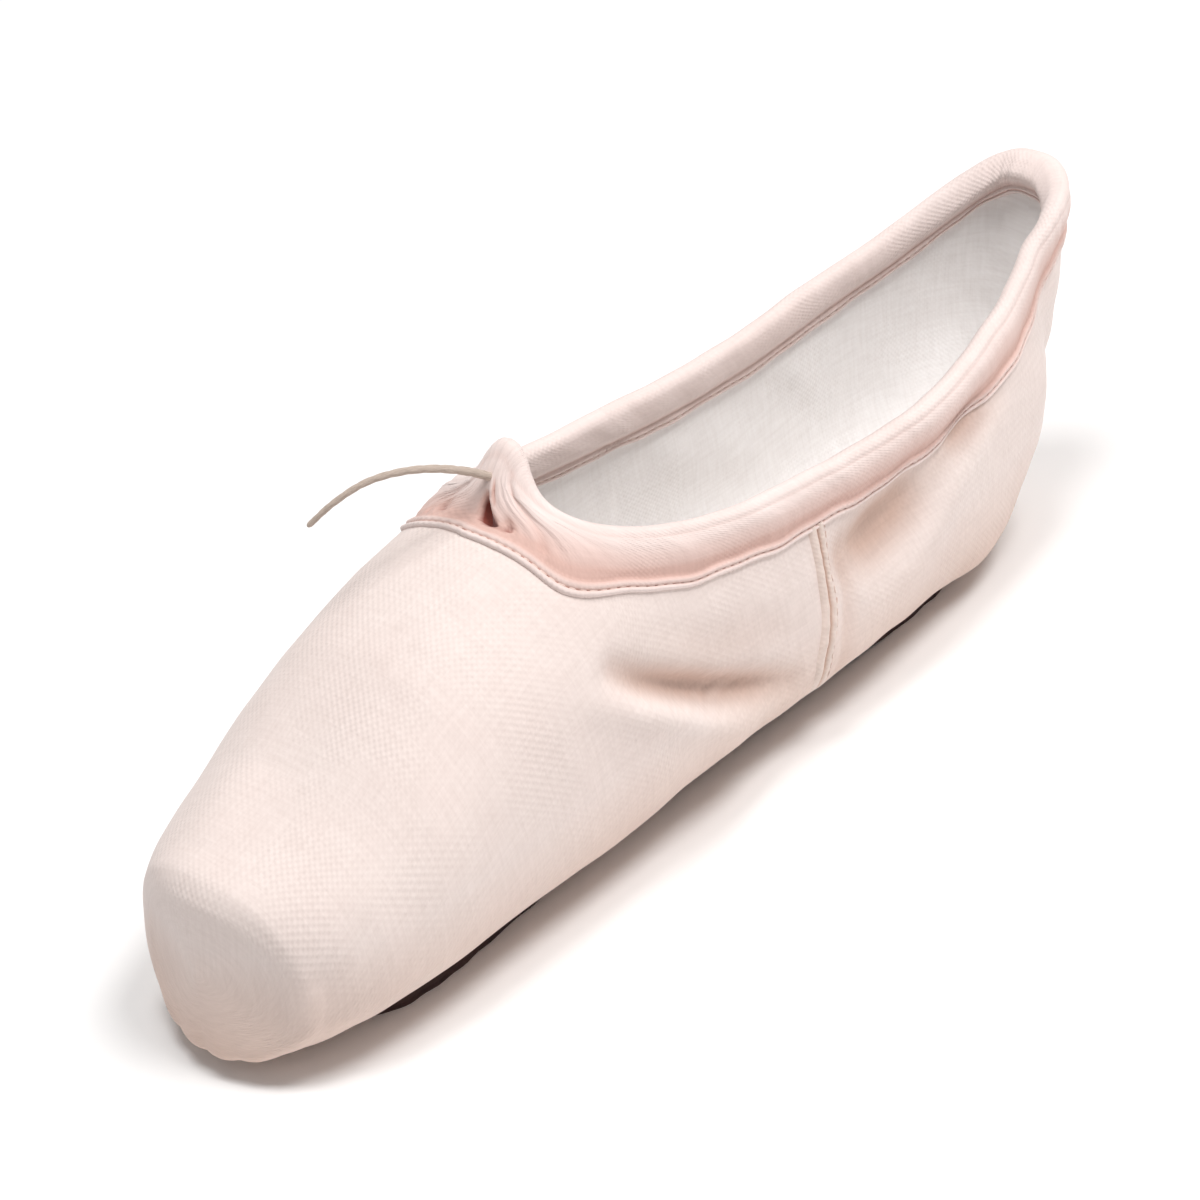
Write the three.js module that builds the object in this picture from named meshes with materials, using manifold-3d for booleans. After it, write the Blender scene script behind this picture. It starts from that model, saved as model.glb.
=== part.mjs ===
// A canvas pointe shoe, standing empty on its leather sole. Millimetres, +Z up, +X toward the toe,
// +Y to the shoe's own left. The origin is on the floor, under the middle of the shoe.
// It is straight-lasted: the two halves mirror each other, so it fits either foot.
import * as THREE from "three";
import { mergeVertices } from "three/addons/utils/BufferGeometryUtils.js";
import Module from "manifold-3d";

const wasm = await Module();
wasm.setup();

// ---- Driving sizes ----
const SOLE_LENGTH = 230; // toe platform to the heel's seat, measured on the floor
const BALL_WIDTH = 75; // the vamp's widths are shares of this
const INSTEP_HEIGHT = 78; // the crowns are shares of this
const SIDE_HEIGHT = 51; // lowest point of the collar, in the waist
const HEEL_HEIGHT = 67; // collar's top at the back
const THROAT_SHARE = 0.452; // where the opening starts, as a share from the toe
const THROAT_FLARE = 9; // how far the gathered throat stands up at its middle
const FLARE_HALF = 7.5; // and how far to each side
const FLARE_LENGTH = 12.5; // and how far forward
const SOLE_WIDTH = 42; // leather sole under the ball
const SOLE_THICKNESS = 2.2; // leather under the middle of the foot
const SOLE_EDGE = 3; // height of the leather's visible edge
const SOLE_BEVEL = 0.6;
const TOE_SPRING = 1.4; // lift of the box's foot over the floor
const ARCH_LIFT = 2.2; // lift of the waist
const HEEL_RISE = 4; // lift of the heel's back
const INSOLE_THICKNESS = 1.6;
const INSOLE_MARGIN = 3; // how far the sock board stays inside the sole's edge
const GAP = 0.3; // air between two pieces that lie on each other
const BOX_WALL = 3; // stiff paste box at the toe
const CANVAS_WALL = 1.6;
const PLATFORM_ROUND = 3; // rounding of the platform's rim
const PLATFORM_BOW = 5; // how far the platform's sides lie behind its middle
const PLATFORM_LEAN = 0.2; // how far the platform's top lies behind its foot, per mm of height
const HEEL_LEAN = 0.34; // how far the soft heel leans back, per mm of height
const HEEL_ROUND = 0.17; // share of the length that the heel's curve takes up
const BINDING_WIDTH = 11;
const BINDING_THICKNESS = 1.1;
const SLOT_LONG = 5; // the casing's slot for the cord
const SLOT_WIDE = 4.4;
const SLOT_BACK = 6.5; // slot's middle in front of the throat's edge
const SEAM_WIDTH = 4;
const SEAM_RAISE = 0.9;
const CORD_DIAMETER = 1.8;

// The last's cross sections, from the toe. Widths are shares of half the ball's width,
// crowns and widest points are shares of the instep's height.
const LAST = [
  { share: 0.0, width: 0.56, crown: 0.47, widest: 0.205 },
  { share: 0.06, width: 0.77, crown: 0.52, widest: 0.23 },
  { share: 0.12, width: 0.865, crown: 0.585, widest: 0.263 },
  { share: 0.2, width: 0.92, crown: 0.7, widest: 0.31 },
  { share: 0.3, width: 0.92, crown: 0.82, widest: 0.345 },
  { share: 0.38, width: 0.91, crown: 0.885, widest: 0.345 },
  { share: 0.45, width: 0.9, crown: 0.92, widest: 0.335 },
  { share: 0.54, width: 0.87, crown: 0.955, widest: 0.308 },
  { share: 0.66, width: 0.85, crown: 0.985, widest: 0.282 },
  { share: 0.78, width: 0.8, crown: 1.02, widest: 0.33 },
  { share: 0.88, width: 0.74, crown: 1.08, widest: 0.42 },
  { share: 1.0, width: 0.67, crown: 1.13, widest: 0.5 },
];

// The underside's line over the floor: how much of the toe's spring, the arch's lift
// and the heel's rise it has. It is flat at 0 under the ball and under the heel.
const UNDERSIDE = [
  { share: 0.0, toe: 1, arch: 0, heel: 0 },
  { share: 0.06, toe: 0.4, arch: 0, heel: 0 },
  { share: 0.12, toe: 0.1, arch: 0, heel: 0 },
  { share: 0.165, toe: 0, arch: 0, heel: 0 },
  { share: 0.33, toe: 0, arch: 0, heel: 0 },
  { share: 0.44, toe: 0, arch: 0.63, heel: 0 },
  { share: 0.54, toe: 0, arch: 1, heel: 0 },
  { share: 0.66, toe: 0, arch: 0.77, heel: 0 },
  { share: 0.78, toe: 0, arch: 0, heel: 0 },
  { share: 0.9, toe: 0, arch: 0, heel: 0 },
  { share: 1.0, toe: 0, arch: 0, heel: 1 },
];

// How full a section is: 2 is an ellipse, more is squarer.
const FULLNESS = [
  { share: 0.0, above: 2.35, below: 2.8 },
  { share: 0.15, above: 2.3, below: 2.4 },
  { share: 0.45, above: 2.4, below: 2.7 },
  { share: 1.0, above: 2.15, below: 2.0 },
];

// The wall, from the stiff box (1) to plain canvas (0).
const WALL = [
  { share: 0.0, box: 1 },
  { share: 0.1, box: 0.7 },
  { share: 0.25, box: 0.2 },
  { share: 0.4, box: 0 },
  { share: 1.0, box: 0 },
];

// The collar's edge, from the throat (back 0) to the heel (back 1): how much of the throat's
// height and of the heel's height it has over the low side.
const COLLAR = [
  { back: 0.0, throat: 1.23, heel: 0 },
  { back: 0.01, throat: 0.68, heel: 0 },
  { back: 0.04, throat: 0.53, heel: 0 },
  { back: 0.07, throat: 0.43, heel: 0 },
  { back: 0.12, throat: 0.31, heel: 0 },
  { back: 0.3, throat: 0.13, heel: 0 },
  { back: 0.55, throat: 0, heel: 0 },
  { back: 0.8, throat: 0, heel: 0.28 },
  { back: 1.0, throat: 0, heel: 1 },
];

// The leather sole's outline, as shares of half its width.
const SOLE = [
  { share: 0.105, half: 0.32 },
  { share: 0.115, half: 0.6 },
  { share: 0.135, half: 0.82 },
  { share: 0.165, half: 0.96 },
  { share: 0.2, half: 1 },
  { share: 0.25, half: 0.97 },
  { share: 0.3, half: 0.92 },
  { share: 0.36, half: 0.88 },
  { share: 0.44, half: 0.86 },
  { share: 0.54, half: 0.84 },
  { share: 0.66, half: 0.86 },
  { share: 0.78, half: 0.86 },
  { share: 0.84, half: 0.78 },
  { share: 0.885, half: 0.64 },
  { share: 0.915, half: 0.46 },
  { share: 0.93, half: 0.2 },
];

// The cord's free end, from its slot in the throat: forward, to the side and up, in mm.
const CORD_PATH = [
  { forward: 0, side: 0, up: 0 },
  { forward: 4, side: -1.2, up: 3.2 },
  { forward: 9.5, side: -4, up: 6.2 },
  { forward: 15, side: -7.5, up: 7.6 },
  { forward: 20.5, side: -11.5, up: 7.2 },
  { forward: 26, side: -15.5, up: 4.6 },
  { forward: 30.5, side: -19.5, up: 0.6 },
];

// ---- Reading a table smoothly, with no overshoot between its rows ----
function curve(rows, at, value) {
  const x = rows.map((row) => row[at]);
  const y = rows.map((row) => row[value]);
  const n = x.length;
  const step = [], rise = [];
  for (let i = 0; i < n - 1; i++) {
    step.push(x[i + 1] - x[i]);
    rise.push((y[i + 1] - y[i]) / step[i]);
  }
  const slope = [rise[0]];
  for (let i = 1; i < n - 1; i++) {
    const a = rise[i - 1], b = rise[i];
    if (a * b <= 0) slope.push(0);
    else {
      const wa = 2 * step[i] + step[i - 1], wb = step[i] + 2 * step[i - 1];
      slope.push((wa + wb) / (wa / a + wb / b));
    }
  }
  slope.push(rise[n - 2]);
  return (at_) => {
    const v = THREE.MathUtils.clamp(at_, x[0], x[n - 1]);
    let i = 0;
    while (i < n - 2 && v > x[i + 1]) i++;
    const t = (v - x[i]) / step[i], h = step[i];
    const t2 = t * t, t3 = t2 * t;
    return (2 * t3 - 3 * t2 + 1) * y[i] + (t3 - 2 * t2 + t) * h * slope[i]
      + (3 * t2 - 2 * t3) * y[i + 1] + (t3 - t2) * h * slope[i + 1];
  };
}

const scaled = (rows, at, value, size, base = 0) => {
  const share = curve(rows, at, value);
  return (v) => base + size * share(v);
};
const halfWidthAt = scaled(LAST, "share", "width", BALL_WIDTH / 2);
const crownAt = scaled(LAST, "share", "crown", INSTEP_HEIGHT);
const widestAt = scaled(LAST, "share", "widest", INSTEP_HEIGHT);
const toeLiftAt = scaled(UNDERSIDE, "share", "toe", TOE_SPRING);
const archLiftAt = scaled(UNDERSIDE, "share", "arch", ARCH_LIFT);
const heelLiftAt = scaled(UNDERSIDE, "share", "heel", HEEL_RISE);
const liftAt = (share) => toeLiftAt(share) + archLiftAt(share) + heelLiftAt(share);
const floorAt = (share) => liftAt(share) + SOLE_THICKNESS + GAP;
const aboveAt = curve(FULLNESS, "share", "above");
const belowAt = curve(FULLNESS, "share", "below");
const wallAt = scaled(WALL, "share", "box", BOX_WALL - CANVAS_WALL, CANVAS_WALL);
const throatRiseAt = scaled(COLLAR, "back", "throat", INSTEP_HEIGHT - SIDE_HEIGHT);
const heelRiseAt = scaled(COLLAR, "back", "heel", HEEL_HEIGHT - SIDE_HEIGHT);
const collarAt = (back) => SIDE_HEIGHT + throatRiseAt(back) + heelRiseAt(back);
const soleHalfAt = scaled(SOLE, "share", "half", SOLE_WIDTH / 2);

// ---- The last: a closed surface through its sections ----
const HEEL_REACH = HEEL_LEAN * HEEL_HEIGHT; // how far the collar's back hangs over the heel's seat
const TOE_REACH = PLATFORM_LEAN * floorAt(0);
const TOE_X = (SOLE_LENGTH + HEEL_REACH + TOE_REACH) / 2; // x of the toe's tip plane at height 0
const AROUND = 44; // points around a section; 0 is the top, AROUND / 2 the bottom
const power = (v, e) => Math.sign(v) * Math.abs(v) ** e;

function bowAt(share, across) {
  return -PLATFORM_BOW * THREE.MathUtils.clamp(1 - share / 0.1, 0, 1) * across ** 2;
}

function flareAt(share, y) {
  const near = THREE.MathUtils.smoothstep(share * SOLE_LENGTH,
    THROAT_SHARE * SOLE_LENGTH - FLARE_LENGTH, THROAT_SHARE * SOLE_LENGTH);
  return THROAT_FLARE * near * Math.exp(-((y / FLARE_HALF) ** 2));
}

function leanAt(share, z) {
  const back = THREE.MathUtils.clamp((share - 0.62) / 0.38, 0, 1) ** 2 * HEEL_LEAN;
  const front = THREE.MathUtils.clamp((0.25 - share) / 0.25, 0, 1) * PLATFORM_LEAN;
  return -(back + front) * z;
}

// Stations along the last: share, how far the rim's rounding draws the section in,
// and how much of the section the heel's curve leaves.
function stations() {
  const list = [];
  for (const turn of [90, 60, 30]) {
    const a = THREE.MathUtils.degToRad(turn);
    list.push({ share: (PLATFORM_ROUND * (1 - Math.sin(a))) / SOLE_LENGTH,
      draw: PLATFORM_ROUND * (1 - Math.cos(a)), keep: 1 });
  }
  const first = PLATFORM_ROUND / SOLE_LENGTH, last = 1 - HEEL_ROUND, count = 25;
  for (let i = 0; i <= count; i++)
    list.push({ share: first + (last - first) * (i / count) ** 1.15, draw: 0, keep: 1 });
  for (const turn of [12, 24, 36, 47, 57, 66, 74, 81, 90]) {
    const a = THREE.MathUtils.degToRad(turn);
    list.push({ share: last + HEEL_ROUND * Math.sin(a), draw: 0, keep: turn === 90 ? 0 : Math.cos(a) ** 0.75 });
  }
  return list;
}

function lastPoint({ share, draw, keep }, index) {
  const turn = Math.PI / 2 + (2 * Math.PI * index) / AROUND;
  const c = Math.cos(turn), s = Math.sin(turn);
  const half = (halfWidthAt(share) - draw) * keep;
  const crown = crownAt(share) - draw, floor = floorAt(share) + draw;
  const widest = widestAt(share);
  const e = 2 / (s >= 0 ? aboveAt(share) : belowAt(share));
  const across = power(c, e), y = across * half;
  const z = s >= 0
    ? widest + (crown - widest) * Math.abs(s) ** e + flareAt(share, y) * s
    : widest - (widest - floor) * Math.abs(s) ** e * keep;
  return new THREE.Vector3(TOE_X - SOLE_LENGTH * share + leanAt(share, z) + bowAt(share, across), y, z);
}

function lastGrid() {
  const points = [], shares = [], faces = [];
  const rows = stations();
  const ringOf = rows.map(() => []);
  rows.forEach((row, i) => {
    for (let j = 0; j < AROUND; j++) {
      const closing = row.keep === 0;
      const below = j > AROUND / 4 && j < (3 * AROUND) / 4;
      const twin = closing && below ? AROUND / 4 : closing && j > AROUND / 2 ? AROUND - j : j;
      if (twin !== j) ringOf[i].push(-1 - twin);
      else {
        ringOf[i].push(points.length);
        points.push(lastPoint(row, j));
        shares.push(row.share);
      }
    }
    ringOf[i] = ringOf[i].map((v) => (v < 0 ? ringOf[i][-1 - v] : v));
  });
  const face = (a, b, c) => { if (a !== b && b !== c && a !== c) faces.push(a, b, c); };
  for (let i = 0; i < rows.length - 1; i++)
    for (let j = 0; j < AROUND; j++) {
      const k = (j + 1) % AROUND;
      face(ringOf[i][j], ringOf[i + 1][j], ringOf[i + 1][k]);
      face(ringOf[i][j], ringOf[i + 1][k], ringOf[i][k]);
    }
  // the platform, fanned from its middle
  const ring = ringOf[0];
  points.push(points[ring[0]].clone().lerp(points[ring[AROUND / 2]], 0.5));
  shares.push(0);
  for (let j = 0; j < AROUND; j++) face(ring[j], ring[(j + 1) % AROUND], points.length - 1);
  return { points, shares, faces };
}

const GRID = lastGrid();
const NORMALS = GRID.points.map(() => new THREE.Vector3());
for (let f = 0; f < GRID.faces.length; f += 3) {
  const [a, b, c] = [0, 1, 2].map((k) => GRID.points[GRID.faces[f + k]]);
  const n = new THREE.Vector3().crossVectors(b.clone().sub(a), c.clone().sub(a));
  for (let k = 0; k < 3; k++) NORMALS[GRID.faces[f + k]].add(n);
}
NORMALS.forEach((n) => n.normalize());

function solid(vertices, faces) {
  const geometry = new THREE.BufferGeometry();
  geometry.setAttribute("position", new THREE.Float32BufferAttribute(vertices, 3));
  if (faces) geometry.setIndex(faces);
  const merged = mergeVertices(geometry, 1e-4);
  return new wasm.Manifold(new wasm.Mesh({ numProp: 3,
    vertProperties: merged.attributes.position.array, triVerts: new Uint32Array(merged.index.array) }));
}

// The last grown outward by `out` mm, or drawn in by the wall and `inside` mm more.
function form({ out = 0, inside = null }) {
  const vertices = [];
  GRID.points.forEach((p, i) => {
    const move = inside === null ? out : -(wallAt(GRID.shares[i]) + inside);
    const q = p.clone().addScaledVector(NORMALS[i], move);
    vertices.push(q.x, q.y, q.z);
  });
  return solid(vertices, GRID.faces);
}

// ---- Cutters ----
const THROAT_X = TOE_X - SOLE_LENGTH * THROAT_SHARE;
const BACK_X = -TOE_X;
const TALL = 2 * INSTEP_HEIGHT; // over everything
const WIDE = 2 * BALL_WIDTH; // past both sides

function collarLine() {
  const line = [new THREE.Vector2(THROAT_X, TALL), new THREE.Vector2(THROAT_X, 1.3 * INSTEP_HEIGHT)];
  for (const back of [0, 0.01, 0.025, 0.04, 0.07, 0.1, 0.14, 0.2, 0.28, 0.37, 0.46, 0.55, 0.64, 0.72,
    0.8, 0.87, 0.94, 1])
    line.push(new THREE.Vector2(THROAT_X + (BACK_X - THROAT_X) * back, collarAt(back)));
  line.push(new THREE.Vector2(BACK_X - 0.5 * HEEL_HEIGHT, 1.12 * HEEL_HEIGHT));
  return line;
}

// The collar's line moved down and forward into the canvas by `down` mm (up and back if negative).
function movedLine(down) {
  const line = collarLine();
  return line.map((p, i) => {
    const a = line[Math.max(i - 1, 0)], b = line[Math.min(i + 1, line.length - 1)];
    const along = b.clone().sub(a).normalize();
    return new THREE.Vector2(p.x - along.y * down, p.y + along.x * down);
  });
}

// Everything above the moved line, as one tall block.
function above(down) {
  const line = movedLine(down);
  const corner = new THREE.Vector2(line[line.length - 1].x, TALL);
  const block = new THREE.ExtrudeGeometry(new THREE.Shape([...line, corner].reverse()),
    { depth: WIDE, bevelEnabled: false, steps: 1 });
  block.rotateX(Math.PI / 2).translate(0, WIDE / 2, 0);
  return solidOf(block);
}

function solidOf(geometry) {
  geometry.deleteAttribute("normal");
  geometry.deleteAttribute("uv");
  const merged = mergeVertices(geometry, 1e-4);
  return solid(merged.attributes.position.array, Array.from(merged.index.array));
}

// A slab with a flat top and bottom per station and a slim bevel, lofted along the sole's outline.
function slab(rows, bevel) {
  const vertices = [], faces = [];
  const section = ({ half, low, high }) => [
    [half - bevel, low], [half, low + bevel], [half, high - bevel / 2], [half - bevel / 2, high],
    [-half + bevel / 2, high], [-half, high - bevel / 2], [-half, low + bevel], [-half + bevel, low],
  ];
  rows.forEach((row) => section(row).forEach(([y, z]) => vertices.push(row.x, y, z)));
  for (let i = 0; i < rows.length - 1; i++)
    for (let j = 0; j < 8; j++) {
      const a = i * 8 + j, b = i * 8 + ((j + 1) % 8);
      faces.push(a, b, b + 8, a, b + 8, a + 8);
    }
  const end = (rows.length - 1) * 8;
  for (let j = 1; j < 7; j++) {
    faces.push(0, j + 1, j);
    faces.push(end, end + j, end + j + 1);
  }
  const made = solid(vertices, faces);
  return made.volume() > 0 ? made
    : solid(vertices, faces.map((_, i) => faces[i - (i % 3) + [0, 2, 1][i % 3]]));
}

function soleShares(from, to, count) {
  const list = [];
  for (let i = 0; i <= count; i++)
    list.push(from + ((to - from) * (1 - Math.cos((Math.PI * i) / count))) / 2);
  return list;
}
const soleX = (share) => TOE_X - SOLE_LENGTH * share;

// ---- The pieces ----
const outer = form({});
const inner = form({ inside: 0 });
const innerGap = form({ inside: GAP });
const outerGap = form({ out: GAP });
const opening = above(0);

// The seat's opening, which the leather sole closes: a rounded outline, well inside the sole's edge.
const SEAT = { from: 0.16, to: 0.86, half: 0.62 };
const seat = slab(soleShares(SEAT.from, SEAT.to, 24).map((share) => {
  const middle = (2 * share - SEAT.from - SEAT.to) / (SEAT.to - SEAT.from);
  const round = Math.sqrt(Math.max(0, 1 - middle ** 6));
  return { x: soleX(share), half: Math.max(SOLE_THICKNESS, soleHalfAt(share) * SEAT.half * round),
    low: -SOLE_THICKNESS, high: floorAt(share) + 2.5 * CANVAS_WALL };
}), 0.2 * SOLE_THICKNESS);

const upper = outer.subtract(inner).subtract(opening).subtract(seat);

// The binding folds over the collar's edge, outside and inside, clear of the canvas all round.
const bindingShell = form({ out: GAP + BINDING_THICKNESS })
  .subtract(form({ inside: GAP + BINDING_THICKNESS }))
  .intersect(above(BINDING_WIDTH))
  .subtract(above(-(GAP + BINDING_THICKNESS)));
const canvasRoom = outerGap.subtract(innerGap).subtract(above(-GAP));
// The casing's slot at the throat, through its outer layer only, where the drawstring comes out.
const slotX = THROAT_X + SLOT_BACK;
const slotShare = (TOE_X - slotX) / SOLE_LENGTH;
const slotFloor = crownAt(slotShare) + flareAt(slotShare, 0);
const slotTall = 6 * BINDING_THICKNESS;
const slot = solidOf(new THREE.BoxGeometry(SLOT_LONG, SLOT_WIDE, slotTall)
  .rotateY(Math.atan2(THROAT_FLARE, FLARE_LENGTH)).translate(slotX, 0, slotFloor + slotTall / 2 - 2 * GAP));
const binding = bindingShell.subtract(canvasRoom).subtract(slot);

// A lapped seam runs down each quarter, from the binding to the sole.
const SEAM = { top: 0.636, foot: 0.61 }; // shares of the length
function seam(side) {
  const high = 1.2 * SIDE_HEIGHT, low = floorAt(SEAM.foot) + SOLE_EDGE - SOLE_THICKNESS + GAP;
  const corner = (share, offset, z) => new THREE.Vector2(soleX(share) + offset, z);
  const shape = new THREE.Shape([
    corner(SEAM.top, SEAM_WIDTH / 2, high), corner(SEAM.top, -SEAM_WIDTH / 2, high),
    corner(SEAM.foot, -SEAM_WIDTH / 2, low), corner(SEAM.foot, SEAM_WIDTH / 2, low),
  ]);
  const block = new THREE.ExtrudeGeometry(shape, { depth: WIDE / 2, bevelEnabled: false });
  block.rotateX(Math.PI / 2).translate(0, side > 0 ? WIDE / 2 : 0, 0);
  return form({ out: GAP + SEAM_RAISE }).subtract(outerGap)
    .intersect(solidOf(block)).subtract(above(BINDING_WIDTH + GAP));
}

// The leather sole: flat under ball and heel, lifted in the waist and at the toe's spring,
// and hollowed on top to the upper's own rounded floor.
const outsole = slab(soleShares(SOLE[0].share, SOLE[SOLE.length - 1].share, 38).map((share) => (
  { x: soleX(share), half: soleHalfAt(share), low: liftAt(share), high: liftAt(share) + SOLE_EDGE }
)), SOLE_BEVEL).subtract(outerGap);

// The sock board inside, on the canvas margin.
const BOARD = { from: 0.1, to: 0.91 };
const insole = slab(soleShares(BOARD.from, BOARD.to, 24).map((share) => {
  const middle = (2 * share - BOARD.from - BOARD.to) / (BOARD.to - BOARD.from);
  const low = floorAt(share) + wallAt(share) + GAP;
  const held = THREE.MathUtils.clamp(share, 0.165, 0.84);
  const half = Math.max(INSOLE_MARGIN,
    (soleHalfAt(held) - INSOLE_MARGIN) * Math.sqrt(Math.max(0, 1 - middle ** 8)));
  return { x: soleX(share), half, low, high: low + INSOLE_THICKNESS };
}), 0.25 * INSOLE_THICKNESS).intersect(form({ inside: GAP + 0.1 }));

// The drawstring's free end: a round cord through the points of its path.
function cord() {
  const start = new THREE.Vector3(slotX, 0, slotFloor + CORD_DIAMETER / 2 + 2 * GAP);
  const path = new THREE.CatmullRomCurve3(CORD_PATH.map((p) =>
    new THREE.Vector3(start.x + p.forward, start.y + p.side, start.z + p.up)), false, "centripetal");
  const round = new THREE.Shape().absarc(0, 0, CORD_DIAMETER / 2, 0, Math.PI * 2);
  return new THREE.ExtrudeGeometry(round, { steps: 20, curveSegments: 4, extrudePath: path });
}

// ---- The scene graph ----
const CANVAS = { color: 0xe6d3c8, roughness: 0.92, metalness: 0 };
const shoe = new THREE.Group();
function add(name, body, look) {
  let geometry = body;
  if (!body.isBufferGeometry) {
    const mesh = body.getMesh();
    geometry = new THREE.BufferGeometry();
    geometry.setAttribute("position", new THREE.Float32BufferAttribute(mesh.vertProperties, 3));
    geometry.setIndex(new THREE.BufferAttribute(mesh.triVerts, 1));
    geometry.computeVertexNormals();
  }
  const piece = new THREE.Mesh(geometry, new THREE.MeshStandardMaterial(look));
  piece.name = name;
  shoe.add(piece);
}

add("upper", upper, CANVAS);
add("collar_binding", binding, { color: 0xe3ccc3, roughness: 0.88, metalness: 0 });
add("side_seam_left", seam(1), { color: 0xdcc8bb, roughness: 0.9, metalness: 0 });
add("side_seam_right", seam(-1), { color: 0xdcc8bb, roughness: 0.9, metalness: 0 });
add("outsole", outsole, { color: 0x2a1614, roughness: 0.6, metalness: 0 });
add("insole", insole, { color: 0xe9e2da, roughness: 0.95, metalness: 0 });
add("drawstring", cord(), { color: 0xb9a99b, roughness: 0.85, metalness: 0 });

export default shoe;
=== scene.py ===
# %% [markdown]
# A canvas pointe shoe, dressed for a studio picture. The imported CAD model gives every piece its
# place: +X runs to the toe, +Y to the shoe's own left, +Z up, in metres, with the floor at zero.
# The looks are built around it: cloth, folds, stitches, leather and cord.

# %% Load the CAD frame
import math
import bpy
import numpy as np
from mathutils import Matrix, Vector


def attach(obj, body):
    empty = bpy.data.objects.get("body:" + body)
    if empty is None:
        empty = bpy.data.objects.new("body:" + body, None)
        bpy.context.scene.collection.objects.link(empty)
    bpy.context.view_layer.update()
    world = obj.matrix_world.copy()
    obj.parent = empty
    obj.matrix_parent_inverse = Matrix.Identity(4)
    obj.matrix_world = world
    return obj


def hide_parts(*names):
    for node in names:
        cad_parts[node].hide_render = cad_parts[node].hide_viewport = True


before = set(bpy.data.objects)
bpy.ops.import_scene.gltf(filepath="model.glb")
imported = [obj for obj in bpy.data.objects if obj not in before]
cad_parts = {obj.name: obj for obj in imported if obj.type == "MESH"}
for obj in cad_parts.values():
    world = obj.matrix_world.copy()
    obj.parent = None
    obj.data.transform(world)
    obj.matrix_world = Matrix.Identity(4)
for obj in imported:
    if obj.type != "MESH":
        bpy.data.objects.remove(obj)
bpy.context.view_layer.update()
MM = 0.001

# %% [markdown]
# The camera comes first, because every later choice is judged through it. The shoe stands on its
# sole, so the picture's slope is a roll of the camera. A long lens from about a metre keeps the
# heel and the toe at nearly one scale, as a catalogue picture does.

# %% Camera
CAMERA_TURN, CAMERA_RISE, CAMERA_ROLL = math.radians(38), math.radians(32), math.radians(13)
CAMERA_REACH = 0.950
AIM = Vector((0.0, 0.0, 0.030))


def camera_axes(turn, rise, roll):
    """The camera's right, up and backward directions."""
    back = Vector((math.sin(turn) * math.cos(rise), math.cos(turn) * math.cos(rise), math.sin(rise)))
    right = Vector((-math.cos(turn), math.sin(turn), 0.0))
    up = back.cross(right)
    return (right * math.cos(roll) - up * math.sin(roll),
            right * math.sin(roll) + up * math.cos(roll), back)


bpy.ops.object.camera_add(location=(0, 0, 0))
camera = bpy.context.object
camera.name = "studio_camera"
cam_right, cam_up, cam_back = camera_axes(CAMERA_TURN, CAMERA_RISE, CAMERA_ROLL)
place = AIM + cam_back * CAMERA_REACH
facing = Matrix((cam_right, cam_up, cam_back)).transposed().to_4x4()
camera.matrix_world = Matrix.Translation(place) @ facing
camera.data.sensor_width = 36.0
camera.data.lens = 144.8
camera.data.shift_x, camera.data.shift_y = -0.040, 0.0033
camera.data.clip_start = 0.01
bpy.context.scene.camera = camera
bpy.context.scene.view_settings.view_transform = "Standard"
print("camera at", [round(v, 3) for v in place])

# %% [markdown]
# Small helpers that every piece uses. A sheet of cloth starts as a primitive grid whose points are
# then laid on the form they have to cover, and it carries a UV map in metres along its own threads,
# so a weave keeps its scale wherever the cloth goes.

# %% Helpers for modelling


def deselect():
    if bpy.context.object and bpy.context.object.mode != "OBJECT":
        bpy.ops.object.mode_set(mode="OBJECT")
    bpy.ops.object.select_all(action="DESELECT")


def pick(piece):
    """Selects one piece alone and makes it the active one."""
    deselect()
    piece.select_set(True)
    bpy.context.view_layer.objects.active = piece


def laid_grid(name, points, uv, hollow=None):
    """A primitive grid with its points laid at points[row, column], in mm, its own UV map, and an
    attribute that sets how much painted shade each point gets in folds, grooves and gaps."""
    deselect()
    rows, columns = points.shape[:2]
    bpy.ops.mesh.primitive_grid_add(x_subdivisions=columns - 1, y_subdivisions=rows - 1, size=2)
    piece = bpy.context.object
    piece.name = name
    mesh = piece.data
    mesh.name = name
    flat = np.empty(len(mesh.vertices) * 3)
    mesh.vertices.foreach_get("co", flat)
    flat = flat.reshape(-1, 3)
    row = np.rint((flat[:, 1] + 1) / 2 * (rows - 1)).astype(int)
    column = np.rint((flat[:, 0] + 1) / 2 * (columns - 1)).astype(int)
    mesh.vertices.foreach_set("co", (points[row, column] * MM).ravel())
    corner = np.empty(len(mesh.loops), dtype=int)
    mesh.loops.foreach_get("vertex_index", corner)
    layer = mesh.uv_layers.active or mesh.uv_layers.new(name="UVMap")
    layer.data.foreach_set("uv", (uv[row, column][corner] * MM).ravel())
    mark = mesh.attributes.new("hollow", "FLOAT", "POINT")
    depths = np.zeros(len(row)) if hollow is None else hollow[row, column]
    mark.data.foreach_set("value", depths.astype(np.float32))
    mesh.update()
    return piece


def weld_and_face_out(piece, distance=2e-5):
    """Merges doubled points and turns a closed form's faces outwards."""
    pick(piece)
    bpy.ops.object.mode_set(mode="EDIT")
    bpy.ops.mesh.select_all(action="SELECT")
    bpy.ops.mesh.remove_doubles(threshold=distance)
    bpy.ops.mesh.dissolve_degenerate(threshold=1e-6)
    bpy.ops.mesh.normals_make_consistent(inside=False)
    bpy.ops.object.mode_set(mode="OBJECT")


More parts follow.
